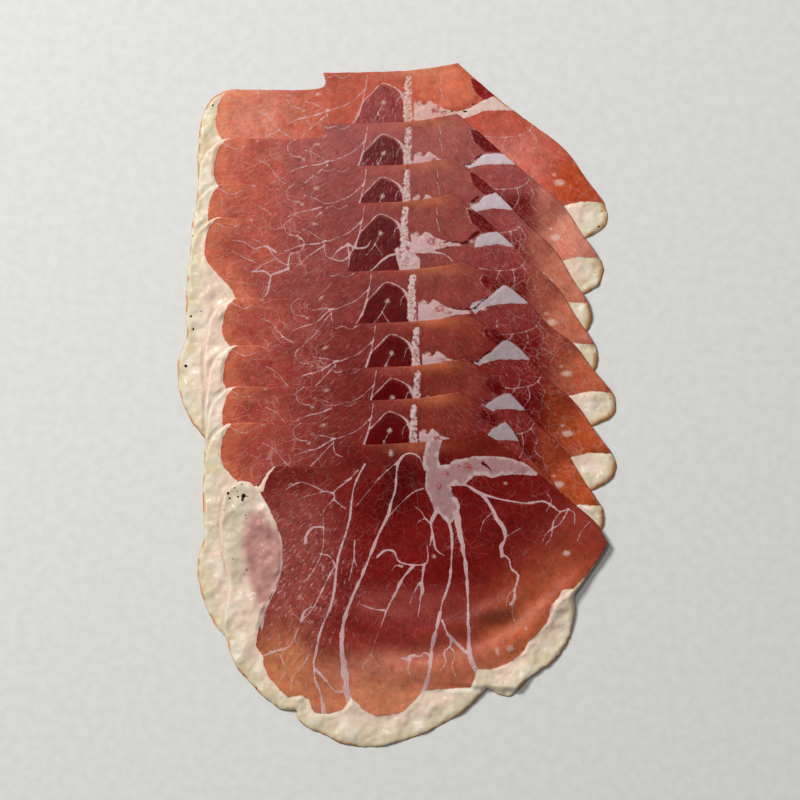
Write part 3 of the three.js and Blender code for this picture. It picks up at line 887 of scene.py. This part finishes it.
def lattice(loop, cell):
    """A grid of points in rows, as far as the loop's box."""
    low, high = loop.min(0), loop.max(0)
    row = cell * math.sqrt(3) / 2
    ys = np.arange(low[1], high[1], row)
    xs = np.arange(low[0], high[0], cell)
    grid_x, grid_y = np.meshgrid(xs, ys)
    grid_x = grid_x + (np.arange(len(ys)) % 2 * cell / 2)[:, None]
    return np.stack([grid_x.ravel(), grid_y.ravel()], 1)


def ways_in(loop):
    """The direction, one long, that leads inwards at each point of a clockwise loop."""
    way = np.roll(loop, -1, 0) - np.roll(loop, 1, 0)
    return np.stack([way[:, 1], -way[:, 0]], 1) / np.hypot(*way.T)[:, None]


def ragged(k, loop):
    """The outline with the small unevenness of a cut edge."""
    fat = smoothstep(-1, 1, -depth_in(own_place(k, loop), FRONT_MEAT if k == FRONT else MEAT_EDGE))
    shift = sum(soft_noise(loop, size, SEED + seed + k) * (meat_height + more * fat)
                for size, meat_height, more, seed in CUT_EDGE)
    return loop + ways_in(loop) * shift[:, None]


def squares(points, size, step=(0, 0)):
    """One whole number for the small square that each point lies in."""
    x, y = (np.floor(points / size).astype(int) + step).T
    return x * SQUARE_ROW + y


def clear_of(points, others, gap):
    """Which points keep that gap from the others."""
    taken = squares(others, gap)
    steps = [(x, y) for x in (-1, 0, 1) for y in (-1, 0, 1)]
    return ~np.any([np.isin(squares(points, gap, step), taken) for step in steps], axis=0)


def thinned(points, gap):
    """The points with all but the first left out of each small square."""
    _, first = np.unique(squares(points, gap), return_index=True)
    return points[np.sort(first)]


def out_of_cover(k, points):
    """Distance from the slices that lie on slice k; negative where they cover it."""
    return -depth_in_any(points, GRIDS[k + 1:])


def triangulated(loop, inner):
    """Triangles over the loop and the points inside it; the loop's points come first."""
    points = [Vector(p) for p in np.vstack([loop, inner])]
    made = delaunay_2d_cdt(points, [], [list(range(len(loop)))], 1, SAME_PLACE)
    places = np.array([tuple(p) for p in made[0]])
    faces = np.array([f for f in made[2] if len(f) == 3])
    source = {old: new for new, olds in enumerate(made[3]) for old in olds}
    return places, faces, np.array([source[i] for i in range(len(loop))])


def mark_points(k):
    """Points in a slice's spots and along its veins."""
    if k == FRONT:
        spots, convert = FRONT_CRYSTALS + FRONT_SPECKS, on_front
    else:
        spots, convert = CRYSTALS_AND_GLINTS + FLAWS, from_photo
    return np.vstack([spot_points(spots, convert), vein_points(marbling(k), convert)])


def within_rings(k, loop, kind, points):
    """The points that lie inside the rim rings and keep their kind's gap from the last of them."""
    return points[depth_in_slice(k, points, loop) > RIM_RINGS[-1] + RING_GAPS[kind]]


def top_points(k, loop):
    """Points inside a slice's outline: rim rings, marbling, then a grid that is coarse where covered."""
    rings = []
    for inset in RIM_RINGS:
        ring = loop + ways_in(loop) * inset
        rings.append(ring[depth_in_slice(k, ring, loop) > inset * 0.85])
    marks = within_rings(k, loop, "marks", placed(k, mark_points(k)))
    marks = thinned(marks[out_of_cover(k, marks) > COVERS["marks"]], MARK_SPACING)
    fine = within_rings(k, loop, "fine", lattice(loop, FINE_CELL))
    fine = fine[out_of_cover(k, fine) > COVERS["fine"]]
    fine = fine[clear_of(fine, marks, MARK_CLEARANCE)]
    coarse = within_rings(k, loop, "coarse", lattice(loop, HIDDEN_CELL))
    coarse = coarse[out_of_cover(k, coarse) < COVERS["coarse"]]
    return np.vstack([*rings, marks, fine, coarse])


def relief(k, own, inwards):
    """Waves, pleat and ruffles, which only the front slice has."""
    if k != FRONT:
        return np.zeros(len(own))
    return ring_waves(own) + pleat(own) + ruffles(own, inwards)


def thickness(k, points, own, depth, looks):
    """How thick the slice is: full inside, round at the rim, swollen and lumpy in open fat."""
    fat = smoothstep(-0.5, 1.5, looks["rim_fat"])
    free = smoothstep(0.3, 2.0, out_of_cover(k, points))
    lumps = sum(height * soft_noise(points, size, SEED + 40 + i) for i, (size, height) in enumerate(LUMPS))
    swell = fat * (FAT_SWELL + lumps) + VEIN_SWELL * smoothstep(-0.2, 0.3, looks["vein"])
    inner_swell = INNER_SWELL * (1 + soft_noise(points, 1.6, SEED + 60 + k))
    inner_swell = inner_swell * smoothstep(-0.3, 0.9, looks["inner_fat"])
    full = THICKNESS + free * swell
    full = full + free * inner_swell
    if k == FRONT:
        away, _ = distance_to(own, curve(FOLD, ROUGH_STEPS))
        full = full + THICKNESS * (1 - smoothstep(0, FOLD_REACH, away))
    round_over = MEAT_RIM + (FAT_RIM - MEAT_RIM) * fat * (0.3 + 0.7 * looks["outer"])
    profile = np.sqrt(1 - (1 - np.clip(depth / round_over, 0, 1)) ** 2)
    return full * profile


def write_attribute(mesh, name, values):
    if values.ndim == 2:
        attribute = mesh.attributes.new(name, "FLOAT_COLOR", "POINT")
        attribute.data.foreach_set("color", np.hstack([values, np.ones((len(values), 1))]).ravel())
    else:
        attribute = mesh.attributes.new(name, "FLOAT", "POINT")
        attribute.data.foreach_set("value", values)


def slice_looks(k, own, flat):
    """All the fields that a slice's shape and material read."""
    looks = front_looks(own) if k == FRONT else common_looks(k, own)
    looks["speck"] = np.maximum(looks["speck"], spot_field(flat, RIM_SPECKS, on_table))
    looks["net"] = looks["net"] * NET_SHARE + NET_NEAR_VEINS * smoothstep(-2.4, -0.3, looks["vein"])
    looks["outer"] = 1 - smoothstep(-1, 1, depth_in_any(flat, GRIDS[:k]))
    return looks


def sheet(k, loop):
    """Points and triangles of a slice's top and underside, which share the rim."""
    top, top_faces, top_rim = triangulated(loop, top_points(k, loop))
    inner = lattice(loop, UNDER_CELL)
    inner = inner[depth_in_slice(k, inner, loop) > UNDER_CELL / 2]
    under, under_faces, under_rim = triangulated(loop, inner)
    join = np.full(len(under), -1)
    join[under_rim] = top_rim
    extra = np.flatnonzero(join < 0)
    join[extra] = len(top) + np.arange(len(extra))
    faces = np.vstack([top_faces, join[under_faces][:, ::-1]])
    low = np.concatenate([top_rim, join[extra]])
    return np.vstack([top, under[extra]]), faces, top_rim, low


def heights(k, flat, own, depth, looks, low):
    """Height of each point; the low ones, at the rim and underside, aren't lifted by the thickness."""
    height = layers_under(k, flat) + relief(k, own, np.maximum(depth, 0))
    lift = thickness(k, flat, own, depth, looks)
    lift[low] = 0
    height = height + lift
    over = np.maximum(height - CEILING, 0)
    return height - over + over / (1 + over / CEILING_REST)


def write_looks(mesh, k, own, flat, depth, looks):
    """Writes the fields that the material reads into the mesh."""
    turn = np.arctan2(own[:, 0], GRAIN["y"] - own[:, 1])
    out = np.hypot(own[:, 0], own[:, 1] - GRAIN["y"])
    shift = np.full(len(own), k * GRAIN["shift"])
    write_attribute(mesh, "tone", looks["tone"])
    write_attribute(mesh, "fat_tone", fat_tones(flat, looks, depth))
    write_attribute(mesh, "fat", np.maximum(looks["rim_fat"], looks["inner_fat"]))
    for name in ("vein", "crystal_and_glint", "speck", "slit", "stain", "net", "grit", "hatch"):
        write_attribute(mesh, name, looks[name])
    write_attribute(mesh, "rim", depth + 1 - looks["outer"])
    write_attribute(mesh, "grain", np.column_stack([turn * GRAIN["turns"], out * GRAIN["rings"], shift]))


def put_in_scene(name, data):
    made = bpy.data.objects.new(name, data)
    bpy.context.scene.collection.objects.link(made)
    return made


def make_slice(k, material):
    """One slice as a closed mesh, with the fields that its material reads."""
    loop = ragged(k, resampled(outline(k, CURVE_STEPS), EDGE_STEP, closed=True))
    flat, faces, rim, low = sheet(k, loop)
    own = own_place(k, flat)
    depth = depth_in_slice(k, flat, loop)
    depth[rim] = 0
    looks = slice_looks(k, own, flat)
    height = heights(k, flat, own, depth, looks, low)
    mesh = bpy.data.meshes.new(f"slice_{k + 1}_look")
    mesh.from_pydata(np.column_stack([flat, height]) * MM, [], faces)
    mesh.validate()
    mesh.shade_smooth()
    write_looks(mesh, k, own, flat, depth, looks)
    mesh.materials.append(material)
    piece = put_in_scene(f"cured_slice_{k + 1}", mesh)
    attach(piece, "root")
    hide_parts(f"slice_{k + 1}")


# The material's own colours.
DEEP_RED = (1.0, 0.45, 0.42, 1.0)  # what a tone is multiplied by, not sRGB
VEIN_TONE = (186, 148, 148)
LIGHT_VEIN_TONE = (210, 184, 182)
THREAD_TONE = (214, 172, 166)
GRIT_TONE = (180, 110, 98)
STAIN_TONE = (150, 52, 50)
SLIT_TONE = (88, 6, 6)
CRYSTAL_AND_GLINT_TONE = (216, 186, 174)
SPECK_TONE = (38, 16, 12)
RIM_TONE = (150, 84, 48)
# The net of fine threads: how it wanders, as waves for each mm, detail and reach, and its two
# sizes of cell, each with the noise between which it comes up and its greatest share.
WANDER = ((0.22, 3.0, 3.6), (0.9, 2.0, 0.3))
WIDE_CELL = 5.2
THREAD_CELLS = ((WIDE_CELL, 0.42, 0.58, 1.0), (2.9, 0.52, 0.64, 0.6))
MATT_MEAT = 0.26
GLOSSY_FAT = 0.17
BUMP = {"Strength": 0.45, "Distance": 0.00025}
SURFACE = {
    "Specular IOR Level": 0.14,
    "Subsurface Weight": 0.1,
    "Subsurface Radius": (1.0, 0.35, 0.25),
    "Subsurface Scale": 0.0012,
}


def linear_colour(colour):
    return (*(float(c) for c in linear(colour)), 1.0)


class Shading:
    """A material's nodes, added one by one."""

    def __init__(self, name):
        self.material = bpy.data.materials.new(name)
        self.material.use_nodes = True
        self.tree = self.material.node_tree
        self.surface = self.tree.nodes["Principled BSDF"]

    def connect(self, node, inputs):
        for name, value in inputs.items():
            if isinstance(value, bpy.types.NodeSocket):
                self.tree.links.new(value, node.inputs[name])
            else:
                node.inputs[name].default_value = value

    def add(self, kind, inputs, **settings):
        made = self.tree.nodes.new(kind)
        for name, value in settings.items():
            setattr(made, name, value)
        self.connect(made, inputs)
        return made

    def field(self, name, output="Fac"):
        return self.add("ShaderNodeAttribute", {}, attribute_name=name).outputs[output]

    def math(self, operation, a, b):
        return self.add("ShaderNodeMath", {0: a, 1: b}, operation=operation).outputs[0]

    def plus(self, a, b):
        return self.math("ADD", a, b)

    def times(self, a, b):
        return self.math("MULTIPLY", a, b)

    def vector(self, operation, *inputs):
        return self.add("ShaderNodeVectorMath", dict(enumerate(inputs)), operation=operation).outputs[0]

    def scaled(self, vector, factor):
        made = self.add("ShaderNodeVectorMath", {0: vector, "Scale": factor}, operation="SCALE")
        return made.outputs[0]

    def step(self, value, low, high, least=0.0, most=1.0):
        ends = {"Value": value, "From Min": low, "From Max": high, "To Min": least, "To Max": most}
        return self.add("ShaderNodeMapRange", ends, interpolation_type="SMOOTHSTEP").outputs["Result"]

    def mix(self, share, a, b, way="MIX"):
        made = self.add("ShaderNodeMix", {0: share, 6: a, 7: b}, data_type="RGBA", blend_type=way)
        return made.outputs[2]

    def paint(self, share, under, colour):
        """An sRGB colour laid over another tone."""
        return self.mix(share, under, linear_colour(colour))

    def noise(self, where, size, detail=2.0, rough=0.5, output="Fac"):
        ends = {"Vector": where, "Scale": 1 / size, "Detail": detail, "Roughness": rough}
        return self.add("ShaderNodeTexNoise", ends).outputs[output]

    def swing(self, noise, share):
        """A noise as a change about nothing."""
        return self.times(self.math("SUBTRACT", noise, 0.5), share)


class HamShading(Shading):
    """The ham's nodes, with the noises that several of its parts share."""

    def __init__(self, name):
        super().__init__(name)
        self.place = self.scaled(self.add("ShaderNodeTexCoord", {}).outputs["Object"], 1 / MM)
        self.grain = self.field("grain", "Vector")
        self.broad = self.noise(self.place, 9.0, 3.0)
        self.patchy = self.shifted_noise((31.0, 7.0, 2.0), 2.6, 4.0, 0.6)
        self.fine = self.noise(self.place, 0.6, 5.0, 0.7)
        self.streaks = self.noise(self.grain, 0.55, 5.0, 0.68)
        self.grains = self.shifted_noise((3.0, 9.0, 71.0), 1.2, 5.0, 0.78)

    def shifted_noise(self, shift, *settings):
        return self.noise(self.vector("ADD", self.place, shift), *settings)


def meat_tone(s):
    """The meat between its veins: uneven shade, fibres along the grain and deep red patches."""
    shade = s.plus(s.swing(s.broad, 0.7), s.swing(s.patchy, 0.7))
    strand = s.times(s.swing(s.streaks, 1.6), s.plus(s.field("hatch"), 0.25))
    shade = s.plus(shade, s.plus(strand, s.swing(s.fine, 0.8)))
    tone = s.scaled(s.field("tone", "Color"), s.plus(shade, 0.95))
    deep = s.step(s.shifted_noise((12.0, 3.0, 40.0), 3.6, 3.0), 0.5, 0.68, 0.0, 0.4)
    return s.mix(deep, tone, s.mix(1.0, tone, DEEP_RED, "MULTIPLY"))


def wandering_place(s):
    """The place on a slice, moved about by two noises so that straight lines wander."""
    where = s.place
    for waves, detail, reach in WANDER:
        noise = s.noise(s.place, 1 / waves, detail, output="Color")
        where = s.vector("MULTIPLY_ADD", noise, (reach, reach, 0.0), where)
    return s.vector("MULTIPLY", where, (1.0, 1.0, 0.0))


def thread_share(s):
    """The finest marbling: a net along the edges of cells, and short flecks along the grain."""
    flat = wandering_place(s)
    thin = s.times(s.step(s.broad, 0.4, 0.6, 0.5, 1.0), 0.024)
    threads = []
    for cell, low, high, most in THREAD_CELLS:
        ends = {"Vector": flat, "Scale": 1 / cell}
        cells = s.add("ShaderNodeTexVoronoi", ends, feature="DISTANCE_TO_EDGE").outputs["Distance"]
        near = s.math("SUBTRACT", thin, s.times(cells, cell / WIDE_CELL))
        shown = s.step(s.shifted_noise((5.0, 60.0, cell), 8.0, 1.0), low, high, 0.28 * most, most)
        threads.append(s.times(s.step(near, -0.008, 0.014), shown))
    thread = s.times(s.math("MAXIMUM", *threads), s.field("net"))
    dashes = s.noise(s.vector("MULTIPLY", s.grain, (1.7, 1.9, 1.0)), 0.8, 2.0, 0.6)
    flecks = s.times(s.step(dashes, 0.585, 0.68, 0.0, 0.9), s.field("hatch"))
    return s.math("MAXIMUM", thread, flecks)


def vein_share(s):
    ragged_vein = s.plus(s.field("vein"), s.plus(s.swing(s.fine, 0.28), s.swing(s.patchy, 0.3)))
    return s.step(ragged_vein, -0.1, 0.09, 0.0, 0.85)


def marbled(s, tone, threads, vein):
    """The meat's tone with its threads and veins."""
    uneven = s.step(s.fine, 0.4, 0.65)
    vein_tone = s.paint(uneven, linear_colour(VEIN_TONE), LIGHT_VEIN_TONE)
    tone = s.mix(threads, tone, s.paint(0.62, tone, THREAD_TONE))
    return s.mix(vein, tone, vein_tone)


def fat_share(s):
    """Where there is fat; its edge is ragged, and breaks into grains in the seam."""
    grain_edge = s.times(s.swing(s.grains, -8.0), s.field("grit"))
    wobble = s.plus(s.swing(s.patchy, 1.2), s.plus(s.swing(s.fine, 0.5), grain_edge))
    return s.step(s.plus(s.field("fat"), wobble), -0.22, 0.22)


def fat_colour(s, tone):
    """The fat's tone, with meat between the grains of the seam."""
    shade = s.plus(s.swing(s.patchy, 0.35), s.swing(s.fine, 0.3))
    fat_tone = s.scaled(s.field("fat_tone", "Color"), s.plus(shade, 1.0))
    between = s.times(s.step(s.grains, 0.46, 0.58, 0.0, 0.85), s.field("grit"))
    return s.mix(between, fat_tone, s.paint(0.5, tone, GRIT_TONE))


def marked(s, colour):
    """Stains, the slit, crystals and a painted glint, specks and the rim's tone, laid over meat and fat."""
    stain = s.step(s.plus(s.field("stain"), s.swing(s.patchy, 2.5)), -0.3, 0.6, 0.0, 0.8)
    stain = s.times(stain, s.step(s.grains, 0.44, 0.52))
    gap = s.plus(s.field("slit"), s.plus(s.swing(s.patchy, 1.6), s.swing(s.fine, 0.9)))
    # Pale spots: crystals, and a painted glint in the muscle.
    crystal_and_glint = s.step(s.plus(s.field("crystal_and_glint"), s.swing(s.fine, 2.6)), -0.4, 0.8, 0.0, 0.62)
    speck = s.step(s.plus(s.field("speck"), s.swing(s.fine, 1.2)), -0.04, 0.14)
    rim = s.step(s.field("rim"), 0.0, 0.4, 0.55, 0.0)
    layers = (
        (stain, STAIN_TONE),
        (s.step(gap, -0.1, 0.25), SLIT_TONE),
        (crystal_and_glint, CRYSTAL_AND_GLINT_TONE),
        (speck, SPECK_TONE),
        (rim, RIM_TONE),
    )
    for share, tone in layers:
        colour = s.paint(share, colour, tone)
    return colour


def surface_height(s, fat, white):
    """Height for the bumps: fibres on the meat, soft dents on fat, pits between the seam's grains."""
    height = s.plus(s.times(s.fine, 0.42), s.times(s.streaks, 0.38))
    height = s.times(height, s.step(fat, 0.0, 1.0, 1.0, 0.25))
    height = s.plus(height, s.times(s.patchy, s.step(fat, 0.0, 1.0, 1.6, 0.7)))
    height = s.plus(height, s.times(s.times(s.grains, s.field("grit")), -4.0))
    return s.plus(height, s.times(white, 0.25))


def meat_material():
    """Cured meat with fat, marbling, fine fibres, crystals, a painted glint and dark specks."""
    s = HamShading("cured_ham")
    threads = thread_share(s)
    vein = vein_share(s)
    fat = fat_share(s)
    tone = marbled(s, meat_tone(s), threads, vein)
    colour = s.mix(fat, tone, fat_colour(s, tone))
    rough = s.plus(s.step(fat, 0.0, 1.0, MATT_MEAT, GLOSSY_FAT), s.swing(s.patchy, 0.12))
    height = surface_height(s, fat, s.math("MAXIMUM", vein, threads))
    bump = s.add("ShaderNodeBump", {"Height": height, **BUMP}).outputs["Normal"]
    s.connect(s.surface, {"Base Color": marked(s, colour), "Roughness": rough, "Normal": bump})
    s.connect(s.surface, SURFACE)
    return s.material


CAMERA_HEIGHT = 1.9
SENSOR = 36.0
PICTURE_PIXELS = 800
PICTURE_MIDDLE = (1.27, 2.07)
SOFT_LIGHT = {"place": (-1.15, 1.1, 1.5), "size": 0.5, "power": 49.0}
GLOSS_LIGHT = {"place": (-0.42, 0.55, 1.7), "size": 0.2, "power": 6.5}
SKY = 0.165
SKY_TONE = (1.0, 0.98, 0.95, 1.0)
FLOOR_TONES = ((0.62, 0.62, 0.6, 1.0), (0.66, 0.66, 0.64, 1.0))
FLOOR_SIZE = 6.0


def look_at(thing, place, target):
    thing.location = place
    thing.rotation_euler = (Vector(target) - Vector(place)).to_track_quat("-Z", "Y").to_euler()


def make_camera():
    camera = put_in_scene("camera", bpy.data.cameras.new("camera"))
    middle = Vector(PICTURE_MIDDLE) * MM
    camera.location = (middle.x, middle.y, CAMERA_HEIGHT)
    camera.data.sensor_width = SENSOR
    camera.data.lens = SENSOR * CAMERA_HEIGHT / (PICTURE_PIXELS * PIXEL * MM)
    bpy.context.scene.camera = camera


def make_light(name, settings):
    lamp = bpy.data.lights.new(name, "AREA")
    lamp.size = settings["size"]
    lamp.energy = settings["power"]
    look_at(put_in_scene(name, lamp), settings["place"], (0, 0, 0))


def make_sky():
    world = bpy.data.worlds.new("studio")
    world.use_nodes = True
    background = world.node_tree.nodes["Background"]
    background.inputs["Color"].default_value = SKY_TONE
    background.inputs["Strength"].default_value = SKY
    bpy.context.scene.world = world


def make_floor():
    s = Shading("pale_floor")
    place = s.add("ShaderNodeTexCoord", {}).outputs["Object"]
    speckle = s.step(s.noise(place, 0.004, 4.0), 0.3, 0.7)
    s.connect(s.surface, {"Base Color": s.mix(speckle, *FLOOR_TONES), "Roughness": 0.8})
    bpy.ops.mesh.primitive_plane_add(size=FLOOR_SIZE, location=(0, 0, 0))
    floor = bpy.context.object
    floor.name = "floor"
    floor.data.materials.append(s.material)


scene = bpy.context.scene
scene.view_settings.view_transform = "Standard"
make_camera()
make_light("soft_light", SOFT_LIGHT)
make_light("gloss_light", GLOSS_LIGHT)
make_sky()
make_floor()
cured_ham = meat_material()
for number in range(len(SLICES)):
    make_slice(number, cured_ham)
